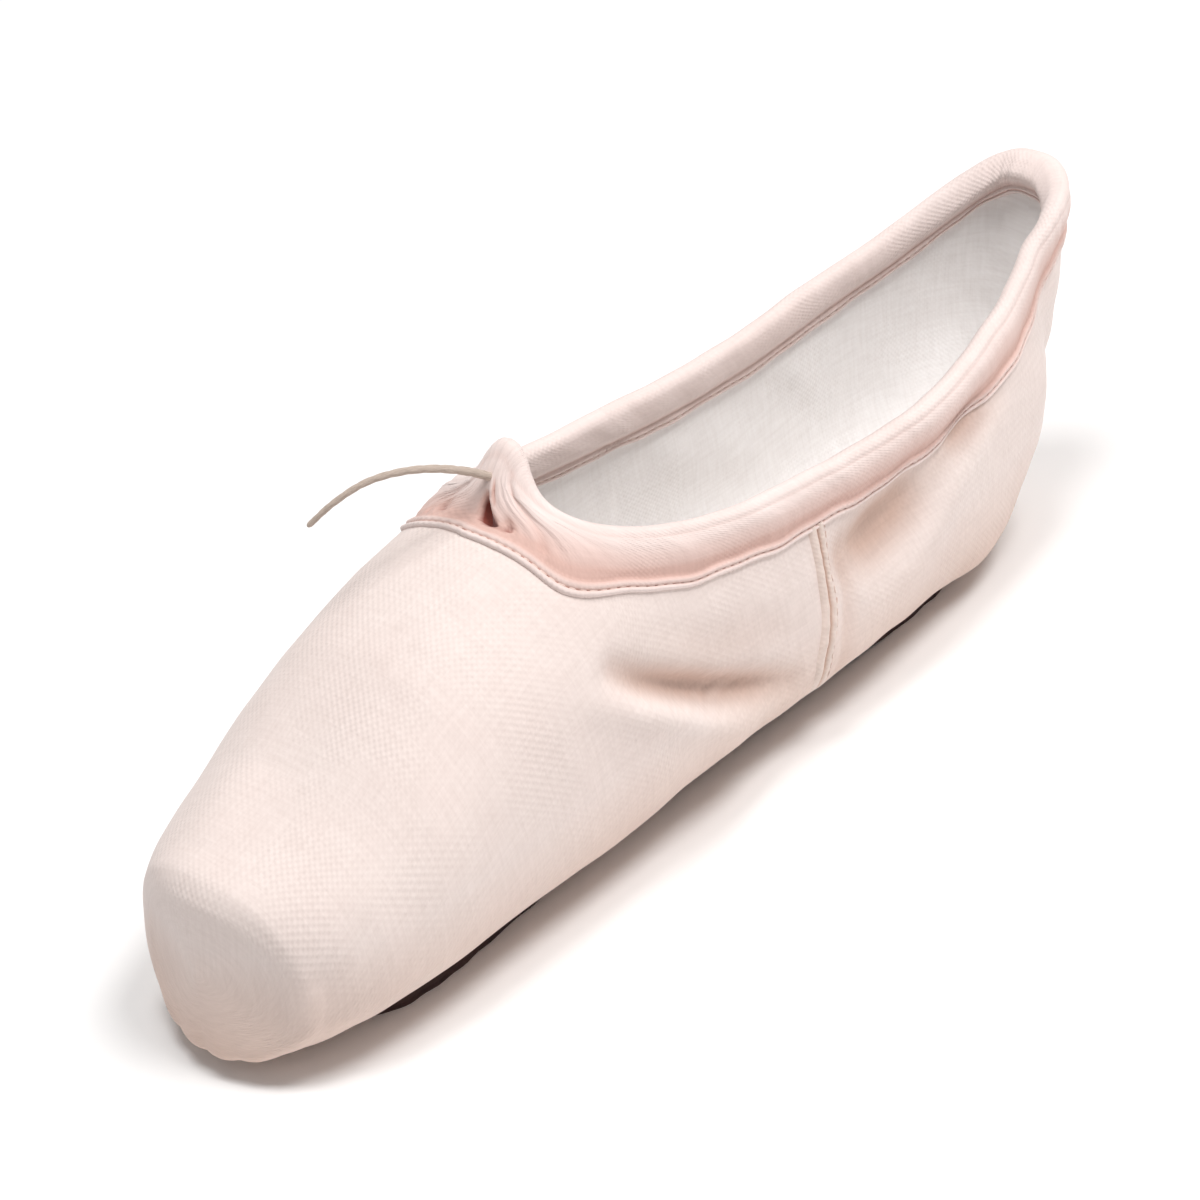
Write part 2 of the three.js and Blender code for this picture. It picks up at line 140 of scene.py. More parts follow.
def drop_faces(piece, dropped):
    """Deletes the faces for which dropped is true, in edit mode."""
    pick(piece)
    bpy.ops.object.mode_set(mode="EDIT")
    bpy.ops.mesh.select_all(action="DESELECT")
    bpy.ops.mesh.select_mode(type="FACE")
    bpy.ops.object.mode_set(mode="OBJECT")
    piece.data.polygons.foreach_set("select", dropped)
    bpy.ops.object.mode_set(mode="EDIT")
    bpy.ops.mesh.delete(type="FACE")
    bpy.ops.mesh.select_mode(type="VERT")
    bpy.ops.object.mode_set(mode="OBJECT")


def apply_modifier(piece, kind, **settings):
    pick(piece)
    modifier = piece.modifiers.new(kind.lower(), kind)
    for key, value in settings.items():
        setattr(modifier, key, value)
    bpy.ops.object.modifier_apply(modifier=modifier.name)


def smooth(piece, degrees=60):
    pick(piece)
    bpy.ops.object.shade_smooth_by_angle(angle=math.radians(degrees))


def run_along(points):
    """The length run from a line's first point to each of its points."""
    steps = np.linalg.norm(np.diff(points, axis=0), axis=1)
    return np.concatenate([[0], np.cumsum(steps)])


def read_line(at, run, line):
    """The line's values at some length run along it."""
    return np.stack([np.interp(at, run, line[:, k]) for k in range(line.shape[1])], axis=-1)


def unit(values):
    """Values held between 0 and 1."""
    return np.clip(values, 0, 1)


def bell(far, width):
    """A smooth bump: 1 in its middle and near 0 from two widths off."""
    return np.exp(-(far / width) ** 2)


def blended(grid, times):
    """Rounds off a grid's rows, each of which closes on itself."""
    for _ in range(times):
        grid = (np.roll(grid, 1, axis=1) + 2 * grid + np.roll(grid, -1, axis=1)) / 4
    return grid


def closed(grid):
    """The same grid with its first column again at its end."""
    return np.concatenate([grid, grid[:, :1]], axis=1)


def grid_normals(points, ring):
    """Directions across a laid grid: the cross product of its rows' and its columns' steps."""
    along = np.gradient(points, axis=0)
    if ring:
        around = np.roll(points, -1, axis=1) - np.roll(points, 1, axis=1)
    else:
        around = np.gradient(points, axis=1)
    n = np.cross(along, around)
    size = np.linalg.norm(n, axis=2, keepdims=True)
    return n / np.maximum(size, 1e-9)


def flat_points(share, across, half, height):
    """Rows along the shoe, with columns that lie so far across its half width."""
    return np.stack(np.broadcast_arrays(TOE_X - LENGTH * share, across * half, height), axis=2)


def slab(name, points, thick, soft_edge):
    """A flat piece: a grid in its outline, a thickness below it and softened edges, all in mm."""
    piece = laid_grid(name, points, points[:, :, :2])
    apply_modifier(piece, "SOLIDIFY", thickness=thick * MM, offset=-1.0)
    apply_modifier(piece, "BEVEL", width=soft_edge * MM, segments=3, limit_method="ANGLE",
                   angle_limit=math.radians(50))
    smooth(piece, 50)
    return piece


def ready(piece, material, slot, *nodes):
    """Gives a piece its finish, if it has none yet, and lets it ride on the shoe and stand for its
    CAD nodes."""
    if material:
        piece.data.materials.clear()
        piece.data.materials.append(material)
    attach(piece, "root")
    if nodes:
        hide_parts(*nodes)
    print(piece.name, len(piece.data.vertices), "points", len(piece.data.polygons), "faces")


# %% [markdown]
# Cloth and cut edges are a little uneven. The unevenness is smooth waves, made of seeded numbers so
# that every run gives the same ones.

# %% Smooth unevenness


def uneven(at, wave, count=7, seed=0):
    """A smooth, irregular wave along `at`, about one high in each direction."""
    r = np.random.default_rng(seed)
    total = np.zeros_like(at, dtype=float)
    for _ in range(count):
        total += r.uniform(0.5, 1.0) * np.sin(2 * np.pi * at / (wave * r.uniform(0.6, 1.7))
                                              + r.uniform(0, 2 * np.pi))
    return total / math.sqrt(count)


def uneven_cloth(points, wave, count=12, seed=0):
    """The same for places in space: soft hills and hollows about `wave` mm across."""
    r = np.random.default_rng(seed)
    total = np.zeros(points.shape[:-1])
    for _ in range(count):
        way = r.normal(size=3)
        way /= np.linalg.norm(way)
        total += np.sin(2 * np.pi * (points @ way) / (wave * r.uniform(0.7, 1.6))
                        + r.uniform(0, 2 * np.pi))
    return total / math.sqrt(count)


# %% [markdown]
# The cord is the drawstring's free end. Its line repeats the CAD route: it leaves the slot in the
# throat's casing, rises in a short arc and comes down over the vamp, stiff enough to hold itself.

# %% The drawstring's route
SLOT_X, SLOT_FLOOR = 29.32, 74.92  # the CAD slot's place, in mm
CORD_RADIUS = 0.9
ROUTE = np.array([(0, 0, 0), (4, -1.2, 3.2), (9.5, -4, 6.2), (15, -7.5, 7.6), (20.5, -11.5, 7.2),
                  (26, -15.5, 4.6), (30.5, -19.5, 0.6)]) + (SLOT_X, 0, SLOT_FLOOR + 1.5)


def smooth_route(points, count):
    """One smooth curve through the points (a centripetal Catmull-Rom spline)."""
    ends = np.vstack([2 * points[0] - points[1], points, 2 * points[-1] - points[-2]])
    out = []
    for k in range(count):
        p = min(k / (count - 1) * (len(points) - 1), len(points) - 1 - 1e-9)
        i, w = int(p), p - int(p)
        p0, p1, p2, p3 = ends[i:i + 4]
        d0, d1, d2 = [math.sqrt(np.linalg.norm(b - a)) for a, b in ((p0, p1), (p1, p2), (p2, p3))]
        m1 = ((p1 - p0) / d0 - (p2 - p0) / (d0 + d1) + (p2 - p1) / d1) * d1
        m2 = ((p2 - p1) / d1 - (p3 - p1) / (d1 + d2) + (p3 - p2) / d2) * d1
        out.append(p1 + w * m1 + w * w * (3 * (p2 - p1) - 2 * m1 - m2)
                   + w ** 3 * (2 * (p1 - p2) + m1 + m2))
    return np.array(out)


# %% [markdown]
# A shoe is pulled over a last, a wooden foot, so the last is what is described: the width, the
# crown and the height of the widest point at a few shares of the length, read smoothly. The same
# tables drive the CAD solids. Here they are sampled far more finely.

# %% The last's tables
LENGTH, BALL, INSTEP, SIDE, HEEL = 230.0, 75.0, 78.0, 51.0, 67.0
THROAT_SHARE, FLARE, FLARE_HALF, FLARE_LONG = 0.452, 9.0, 7.5, 12.5
SOLE_WIDE, SOLE_THICK, GAP = 42.0, 2.2, 0.3
TOE_SPRING, ARCH_LIFT, HEEL_RISE = 1.4, 2.2, 4.0
RIM_ROUND, BOW, TOE_LEAN, HEEL_LEAN, HEEL_ROUND = 2.2, 5.0, 0.2, 0.34, 0.17
WALL, BOX_WALL = 1.6, 3.0

SHARES = (0, .06, .12, .2, .3, .38, .45, .54, .66, .78, .88, 1)
WIDTHS = (.56, .77, .865, .92, .92, .91, .9, .87, .85, .8, .74, .67)
CROWNS = (.47, .52, .585, .7, .82, .885, .92, .955, .985, 1.02, 1.08, 1.13)
WIDEST = (.205, .23, .263, .31, .345, .345, .335, .308, .282, .33, .42, .5)


def read_smoothly(x, y, size=1.0, base=0.0):
    """A curve through table rows that never swings past them."""
    x, y = np.array(x, float), np.array(y, float)
    step = np.diff(x)
    rise = np.diff(y) / step
    slope = np.zeros(len(x))
    slope[0], slope[-1] = rise[0], rise[-1]
    for i in range(1, len(x) - 1):
        a, b = rise[i - 1], rise[i]
        if a * b > 0:
            wa, wb = 2 * step[i] + step[i - 1], step[i] + 2 * step[i - 1]
            slope[i] = (wa + wb) / (wa / a + wb / b)

    def at(v):
        v = np.clip(np.asarray(v, float), x[0], x[-1])
        i = np.clip(np.searchsorted(x, v, side="left") - 1, 0, len(x) - 2)
        h = step[i]
        t = (v - x[i]) / h
        t2, t3 = t * t, t ** 3
        value = ((2 * t3 - 3 * t2 + 1) * y[i] + (t3 - 2 * t2 + t) * h * slope[i]
                 + (3 * t2 - 2 * t3) * y[i + 1] + (t3 - t2) * h * slope[i + 1])
        return base + size * value
    return at


half_at = read_smoothly(SHARES, WIDTHS, BALL / 2)
crown_at = read_smoothly(SHARES, CROWNS, INSTEP)
widest_at = read_smoothly(SHARES, WIDEST, INSTEP)
above_at = read_smoothly((0, .15, .45, 1), (2.35, 2.3, 2.4, 2.15))
below_at = read_smoothly((0, .15, .45, .8, 1), (2.15, 2.35, 2.7, 2.9, 2.0))
UNDER = (0, .06, .12, .165, .33, .44, .54, .66, .78, .9, 1)
toe_lift = read_smoothly(UNDER, (1, .4, .1, 0, 0, 0, 0, 0, 0, 0, 0), TOE_SPRING)
arch_lift = read_smoothly(UNDER, (0, 0, 0, 0, 0, .63, 1, .77, 0, 0, 0), ARCH_LIFT)
heel_lift = read_smoothly(UNDER, (0, 0, 0, 0, 0, 0, 0, 0, 0, 0, 1), HEEL_RISE)
wall_at = read_smoothly((0, .1, .25, .4, 1), (1, .7, .2, 0, 0), BOX_WALL - WALL, WALL)


def lift_at(share):
    return toe_lift(share) + arch_lift(share) + heel_lift(share)


def floor_at(share):
    return lift_at(share) + SOLE_THICK + GAP


TOE_X = (LENGTH + HEEL_LEAN * HEEL + TOE_LEAN * float(floor_at(0))) / 2
THROAT_X, BACK_X = TOE_X - LENGTH * THROAT_SHARE, -TOE_X
print("toe at", round(TOE_X, 2), "throat at", round(THROAT_X, 2), "mm")

# %% The last's surface


def flare_at(share, y):
    t = unit((share * LENGTH - THROAT_SHARE * LENGTH + FLARE_LONG) / FLARE_LONG)
    return FLARE * t * t * (3 - 2 * t) * bell(y, FLARE_HALF)


def lean_at(share, z):
    back = unit((share - 0.62) / 0.38) ** 2 * HEEL_LEAN
    front = unit((0.25 - share) / 0.25) * TOE_LEAN
    return -(back + front) * z


def share_at(x, z):
    """The share of the length that a place seen from the side belongs to, for all its lean."""
    share = (TOE_X - x) / LENGTH
    for _ in range(60):
        share = (TOE_X - x + lean_at(share, z)) / LENGTH
    return share


def keep_at(share):
    """What the heel's round plan leaves of a section's width."""
    s = unit((share - (1 - HEEL_ROUND)) / HEEL_ROUND)
    return np.sqrt(unit(1 - s * s)) ** 0.75


def last_points(share, draw, keep, turn):
    """Points of the last for rows (share, draw, keep) and angles from the right-hand side."""
    share, draw, keep = [np.asarray(v, float)[:, None] for v in (share, draw, keep)]
    c, s = np.cos(turn)[None, :], np.sin(turn)[None, :]
    half = (half_at(share) - draw) * keep
    crown, floor, widest = crown_at(share) - draw, floor_at(share) + draw, widest_at(share)
    e = np.where(s >= 0, 2 / above_at(share), 2 / below_at(share))
    across = np.sign(c) * np.abs(c) ** e
    y = across * half
    up = np.abs(s) ** e
    z = np.where(s >= 0, widest + (crown - widest) * up + flare_at(share, y) * s,
                 widest - (widest - floor) * up * keep)
    x = (TOE_X - LENGTH * share + lean_at(share, z)
         - BOW * unit(1 - share / 0.1) * across ** 2)
    return np.stack([x, y + 0 * z, z], axis=2)


# %% [markdown]
# The collar is cut through the last by one line seen from the side: steep at the throat, low in
# the waist and rising to the heel. How deep a point lies below that line tells where the canvas
# ends and how wide the binding is.

# %% The collar's line
BACKS = (0, .01, .04, .07, .12, .3, .55, .8, 1)
throat_rise = read_smoothly(BACKS, (1.23, .68, .53, .43, .31, .13, 0, 0, 0), INSTEP - SIDE)
heel_rise = read_smoothly(BACKS, (0, 0, 0, 0, 0, 0, 0, .28, 1), HEEL - SIDE)


def collar_line():
    """The cut seen from the side. Its throat is given point by point, undercut where the cord pulls."""
    throat = [(22.8, 101), (22.8, 90), (23.0, 84), (24.0, 79.6), (25.8, 75.8), (27.0, 72.4),
              (26.4, 69.4), (23.9, 66.9), (20.0, 65.0), (15.5, 63.2), (9.5, 60.9)]
    back = np.array([.12, .16, .2, .28, .37, .46, .55, .64, .72, .8, .87, .94, 1])
    x = THROAT_X + (BACK_X - THROAT_X) * back
    z = SIDE + throat_rise(back) + heel_rise(back)
    line = np.concatenate([throat, np.stack([x, z], axis=1), [(BACK_X - 0.5 * HEEL, 1.12 * HEEL)]])
    for _ in range(2):  # round its corners, as cloth does
        cut = [line[0]]
        for a, b in zip(line[:-1], line[1:]):
            cut += [a * 0.75 + b * 0.25, a * 0.25 + b * 0.75]
        line = np.array(cut + [line[-1]])
    return line


COLLAR = collar_line()
COLLAR_RUN = run_along(COLLAR)
tangent = np.gradient(COLLAR, COLLAR_RUN, axis=0)
tangent /= np.linalg.norm(tangent, axis=1, keepdims=True)
COLLAR_DOWN = np.stack([-tangent[:, 1], tangent[:, 0]], axis=1)  # into the canvas


def collar_at(run, down):
    """Side-view points of the collar's line moved into the canvas by `down` mm."""
    way = read_line(run, COLLAR_RUN, COLLAR_DOWN)
    way /= np.linalg.norm(way, axis=-1, keepdims=True)
    moved = read_line(run, COLLAR_RUN, COLLAR) + down * way
    return moved[..., 0], moved[..., 1]


def depth_below_collar(x, z):
    """How far side-view points lie below the collar's line. Above it the depth is negative."""
    flat = np.stack([np.ravel(x), np.ravel(z)], axis=1)
    best = np.full(len(flat), 1e9)
    sign = np.ones(len(flat))
    for a, b in zip(COLLAR[:-1], COLLAR[1:]):
        d = b - a
        t = unit(((flat - a) @ d) / (d @ d))
        off = flat - a - t[:, None] * d
        far = np.hypot(off[:, 0], off[:, 1])
        near = far < best
        side = d[0] * (flat[:, 1] - a[1]) - d[1] * (flat[:, 0] - a[0])
        sign = np.where(near, np.where(side > 0, 1.0, -1.0), sign)
        best = np.where(near, far, best)
    return (best * sign).reshape(np.shape(x))


print("depth at the waist's foot", depth_below_collar(np.array([0.0]), np.array([10.0])))


def surface_side(x, z):
    """Half the last's width where a side-view point meets its surface above the widest line."""
    share = share_at(x, z)
    inside = share < 1
    share = unit(share)
    crown, widest, e = crown_at(share), widest_at(share), 2 / above_at(share)
    half = np.maximum(half_at(share) * keep_at(share), 1e-9)
    low, high = np.zeros_like(z), half.copy()
    for _ in range(45):  # the surface falls steadily from the middle outwards
        y = (low + high) / 2
        c = (y / half) ** (1 / e)
        s = np.sqrt(unit(1 - c * c))
        over = widest + (crown - widest) * s ** e + flare_at(share, y) * s > z
        low, high = np.where(over, y, low), np.where(over, high, y)
    return np.where(inside, (low + high) / 2, 0.0)


HEEL_DRAWN = 5.0


def drawn_in(points):
    """The same points with the heel's near edge drawn in, as its string pulls it."""
    back = unit((-46 - points[..., 0]) / 38)
    high = unit((points[..., 2] - 36) / 26)
    pull = back * back * (3 - 2 * back) * high * high * (3 - 2 * high)
    pull = pull * unit((120 + points[..., 0]) / 14)
    moved = points.copy()
    moved[..., 1] -= HEEL_DRAWN * pull * unit((points[..., 1] - 3) / 15)
    return moved


# %% [markdown]
# The binding is a strip of canvas folded over the collar's edge. Its pattern is a set of lines that
# run round the opening, each a little farther down the canvas. A half of each line is found in the
# side view, given its width by the last, and mirrored.

# %% Lines that run round the opening
HALF_COLUMNS = 380


def halve(test, low, high):
    """The place between low, where test is false, and high, where it is true."""
    for _ in range(50):
        middle = (low + high) / 2
        low, high = (low, middle) if test(middle) else (middle, high)
    return high


def first_run(down):
    """Where a moved line dips into the canvas at the throat's top."""
    def dipped(run):
        x, z = collar_at(run, down)
        share = (TOE_X - x) / LENGTH
        return z < crown_at(share) + flare_at(share, 0.0)
    return halve(dipped, 0.0, 45.0)


def last_run(down):
    """Where a moved line meets the heel's back."""
    def past(run):
        return share_at(*collar_at(run, down)) >= 1
    return halve(past, COLLAR_RUN[-1] - 75, COLLAR_RUN[-1])


def half_line(down, w):
    """Points from the throat's middle to the heel's middle on the left side, for w from 0 to 1."""
    a, b = first_run(down), last_run(down)
    run = a + (b - a) * w
    x, z = collar_at(run, down)
    y = np.where((w <= 0) | (w >= 1), 0, surface_side(x, z))
    return np.stack([x, y, z], axis=1)


dense = (1 - np.cos(np.linspace(0, np.pi, 6000))) / 2
middle_line = half_line(5.0, dense)
run3d = run_along(middle_line)
COLUMN_W = np.interp(np.linspace(0, run3d[-1], HALF_COLUMNS + 1), run3d, dense)
HALF_ROUND = float(run3d[-1])


def round_line(down):
    """A closed line round the opening: left side to the heel, then back along the right."""
    left = half_line(down, COLUMN_W)
    right = left[-2:0:-1] * (1, -1, 1)
    return np.concatenate([left, right])


print("binding's half length", round(HALF_ROUND, 1), "mm")

# %% [markdown]
# Cloth colours are mixed once, here. Each finish is a small function that builds its nodes: a base
# colour with soft unevenness, a weave that follows the UV map, fine thread noise in the bump, and a
# little sheen, which is what makes cotton look soft at its edges. Painted shade darkens the colour
# towards the bottom and in marked folds and gaps.

# %% Helpers for finishes


def new_finish(name, roughness, **sockets):
    material = bpy.data.materials.new(name)
    material.use_nodes = True
    shader = material.node_tree.nodes["Principled BSDF"]
    shader.inputs["Roughness"].default_value = roughness
    for key, value in sockets.items():
        shader.inputs[key.replace("_", " ")].default_value = value
    return material, material.node_tree, shader


def node(tree, kind, **settings):
    made = tree.nodes.new(kind)
    for key, value in settings.items():
        setattr(made, key, value)
    return made


def math_node(tree, operation, a, b=None, clamp=False):
    made = node(tree, "ShaderNodeMath", operation=operation, use_clamp=clamp)
    for k, value in enumerate((a, b)):
        if value is None:
            continue
        if isinstance(value, (int, float)):
            made.inputs[k].default_value = value
        else:
            tree.links.new(value, made.inputs[k])
    return made.outputs[0]


def noise(tree, coordinates, scale, stretch=(1, 1, 1), detail=3.0, rough=0.6):
    mapping = node(tree, "ShaderNodeMapping")
    mapping.inputs["Scale"].default_value = stretch
    tree.links.new(coordinates, mapping.inputs["Vector"])
    made = node(tree, "ShaderNodeTexNoise")
    made.inputs["Scale"].default_value = scale
    made.inputs["Detail"].default_value = detail
    made.inputs["Roughness"].default_value = rough
    tree.links.new(mapping.outputs[0], made.inputs["Vector"])
    return made.outputs["Fac"]


def ramp(tree, value, stops):
    made = node(tree, "ShaderNodeValToRGB")
    for k, (at, colour) in enumerate(stops):
        stop = made.color_ramp.elements[k] if k < 2 else made.color_ramp.elements.new(at)
        stop.position = at
        stop.color = (*colour, 1)
    tree.links.new(value, made.inputs[0])
    return made.outputs["Color"]


def mix(tree, kind, fac, a, b):
    made = node(tree, "ShaderNodeMix", data_type="RGBA", blend_type=kind)
    for key, value in ((0, fac), (6, a), (7, b)):
        if isinstance(value, (int, float)):
            made.inputs[key].default_value = value
        elif isinstance(value, tuple):
            made.inputs[key].default_value = (*value, 1)
        else:
            tree.links.new(value, made.inputs[key])
    return made.outputs[2]


def bump(tree, height, distance, strength=1.0, normal=None):
    made = node(tree, "ShaderNodeBump")
    made.inputs["Strength"].default_value = strength
    made.inputs["Distance"].default_value = distance
    tree.links.new(height, made.inputs["Height"])
    if normal:
        tree.links.new(normal, made.inputs["Normal"])
    return made.outputs[0]


def woven(tree, uv, pitch):
    """A plain weave's height: threads that pass over and under each other."""
    split = node(tree, "ShaderNodeSeparateXYZ")
    tree.links.new(uv, split.inputs[0])
    turn = math.pi / pitch
    u = math_node(tree, "SINE", math_node(tree, "MULTIPLY", split.outputs[0], turn))
    v = math_node(tree, "SINE", math_node(tree, "MULTIPLY", split.outputs[1], turn))
    return math_node(tree, "MULTIPLY_ADD", math_node(tree, "MULTIPLY", u, v), 0.5)


def cloth_finish(name, lit, shade, pitch=0.0005, weave=0.00009, slub=0.00012, roughness=0.92,
                 low_shade_colour=None, low_shade_height=0.03, fold_shade_colour=(0.80, 0.67, 0.60), gap_shade_colour=(0.22, 0.055, 0.04)):
    """Cotton canvas: colour unevenness, warp and weft streaks, a plain weave and soft sheen. Painted
    shade darkens it towards the bottom and in the folds and gaps that the hollow attribute marks.
    """
    material, tree, shader = new_finish(name, roughness, Sheen_Weight=0.25, Sheen_Roughness=0.5,
                                        Specular_IOR_Level=0.2)
    where = node(tree, "ShaderNodeTexCoord")
    uv, place = where.outputs["UV"], where.outputs["Object"]
    warp = noise(tree, uv, 1.0, (130, 1150, 1))
    weft = noise(tree, uv, 1.0, (1150, 130, 1))
    threads = math_node(tree, "MULTIPLY", math_node(tree, "ADD", warp, weft), 0.5)
    cloud = noise(tree, place, 38.0, detail=4.0)
    base = ramp(tree, cloud, [(0.3, shade), (0.7, lit)])
    base = mix(tree, "MULTIPLY", 0.55, base, ramp(tree, threads, [(0.35, (0.85, 0.83, 0.82)),
                                                                  (0.62, (1.0, 1.0, 1.0))]))
    # Painted shade towards the bottom: below the given height the colour is multiplied, in soft patches,
    # towards a warmer, darker one.
    if low_shade_colour:
        split = node(tree, "ShaderNodeSeparateXYZ")
        tree.links.new(place, split.inputs[0])
        low = math_node(tree, "DIVIDE", split.outputs[2], -low_shade_height)
        low = math_node(tree, "ADD", low, 1.0, clamp=True)
        patch = noise(tree, place, 22.0)
        low = math_node(tree, "MULTIPLY", low, math_node(tree, "ADD", patch, 0.45, clamp=True))
        base = mix(tree, "MULTIPLY", low, base, low_shade_colour)
    # Painted shade: the hollow mark darkens the colour towards the fold colour, and past 1.2 towards the
    # near-black colour of a gap.
    mark = node(tree, "ShaderNodeAttribute", attribute_name="hollow")
    deep = math_node(tree, "MULTIPLY", mark.outputs["Fac"], 1.0, clamp=True)
    base = mix(tree, "MULTIPLY", deep, base, fold_shade_colour)
    gap = math_node(tree, "SUBTRACT", mark.outputs["Fac"], 1.2, clamp=True)
    base = mix(tree, "MIX", gap, base, gap_shade_colour)
    tree.links.new(base, shader.inputs["Base Color"])
    height = bump(tree, threads, slub)
    patchy = ramp(tree, noise(tree, place, 60.0, detail=2.0, rough=0.5),
                  [(0.4, (0.25, 0.25, 0.25)), (0.62, (1, 1, 1))])
    cloth = math_node(tree, "MULTIPLY", woven(tree, uv, pitch), patchy)
    height = bump(tree, cloth, weave, 1.0, height)
    tree.links.new(height, shader.inputs["Normal"])
    return material


def grained_finish(name, roughness, tone, stops, grain=None, deep=0.0, seat="Object", **sockets):
    """A finish whose colour follows one noise, and its fine relief another. Both are given as what
    noise() takes."""
    material, tree, shader = new_finish(name, roughness, **sockets)
    where = node(tree, "ShaderNodeTexCoord").outputs[seat]
    tree.links.new(ramp(tree, noise(tree, where, **tone), stops), shader.inputs["Base Color"])
    if grain:
        tree.links.new(bump(tree, noise(tree, where, **grain), deep), shader.inputs["Normal"])
    return material


# %% Cloth finishes
# the canvas is painted warmer and darker below 27 mm, as shade
canvas_finish = cloth_finish("canvas", (0.872, 0.762, 0.72), (0.838, 0.717, 0.675), pitch=0.0008,
                             weave=0.00010, slub=0.00015,
                             low_shade_colour=(0.88, 0.73, 0.63), low_shade_height=0.027)
lining_finish = cloth_finish("lining", (0.975, 0.96, 0.952), (0.955, 0.935, 0.925), pitch=0.0006,
                              weave=0.00004, slub=0.00008, fold_shade_colour=(0.95, 0.92, 0.90),
                              gap_shade_colour=(0.90, 0.86, 0.84))
binding_finish = cloth_finish("binding", (0.90, 0.775, 0.74), (0.86, 0.72, 0.68), pitch=0.0006,
                              fold_shade_colour=(0.80, 0.63, 0.58))
seam_finish = cloth_finish("seam_tape", (0.89, 0.775, 0.72), (0.85, 0.73, 0.67), pitch=0.0005)
print("cloth finishes ready")

# %% [markdown]
# The canvas upper is the last's whole surface as one grid, from the middle of the platform, over
# its rim, along the foot and round the heel. Folds are laid in as soft troughs and ridges.
# Faces over the collar go, and Solidify gives the wall its thickness: thick paste box at the toe,
# two layers of canvas elsewhere, with the lining's finish on the inner face and the raw edge.

# %% Rows and columns of the canvas
AROUND = 208
platform_rows = np.linspace(0, 1, 11)[:-1]
rim_turns = np.radians(np.linspace(90, 12, 7))
first, last = RIM_ROUND / LENGTH, 1 - HEEL_ROUND
body_shares = first + (last - first) * np.linspace(0, 1, 176)
heel_turns = np.concatenate([np.radians(np.linspace(3, 60, 19)),
                             np.arccos(np.linspace(math.cos(math.radians(60)) ** 0.75, 0, 17)[1:]
                                       ** (1 / 0.75))])
row_share = np.concatenate([0 * platform_rows, RIM_ROUND * (1 - np.sin(rim_turns)) / LENGTH,
                            body_shares, last + HEEL_ROUND * np.sin(heel_turns)])
row_draw = np.concatenate([0 * platform_rows + RIM_ROUND, RIM_ROUND * (1 - np.cos(rim_turns)),
                           0 * body_shares, 0 * heel_turns])
row_keep = np.concatenate([np.ones(len(platform_rows) + len(rim_turns) + len(body_shares)),
                           np.cos(heel_turns) ** 0.75])
row_keep[-1] = 0.0
columns = -np.pi / 2 + np.linspace(0, 2 * np.pi, AROUND + 1)  # from the sole, round and back
canvas_points = drawn_in(last_points(row_share, row_draw, row_keep, columns))
front_ring = canvas_points[len(platform_rows)].copy()
front_middle = (front_ring[0] + front_ring[AROUND // 2]) / 2
for k, grow in enumerate(platform_rows):
    canvas_points[k] = front_middle + (front_ring - front_middle) * grow
canvas_normals = closed(grid_normals(canvas_points[:, :-1], True))
canvas_normals[:len(platform_rows) + 1] = np.array([1.0, 0, TOE_LEAN]) / math.hypot(1, TOE_LEAN)
print("canvas grid", canvas_points.shape)

# %% Folds in the canvas


def trough(points, path, depth, width):
    """How far a soft trough along a path of side-view points draws the cloth in. Depth under zero
    makes a ridge. Each point of the path is (x, y, z) in mm, and the ends fade out."""
    path = np.array(path, float)
    run = run_along(path)
    best = np.full(points.shape[:2], 1e9)
    where = np.zeros(points.shape[:2])
    for a, b, ra, rb in zip(path[:-1], path[1:], run[:-1], run[1:]):
        d = b - a
        t = unit(((points - a) @ d) / (d @ d))
        far = np.linalg.norm(points - a - t[..., None] * d, axis=2)
        near = far < best
        where = np.where(near, ra + (rb - ra) * t, where)
        best = np.where(near, far, best)
    fade = np.sin(np.pi * unit(0.08 + 0.84 * where / run[-1])) ** 0.7
    return -depth * bell(best, width) * fade


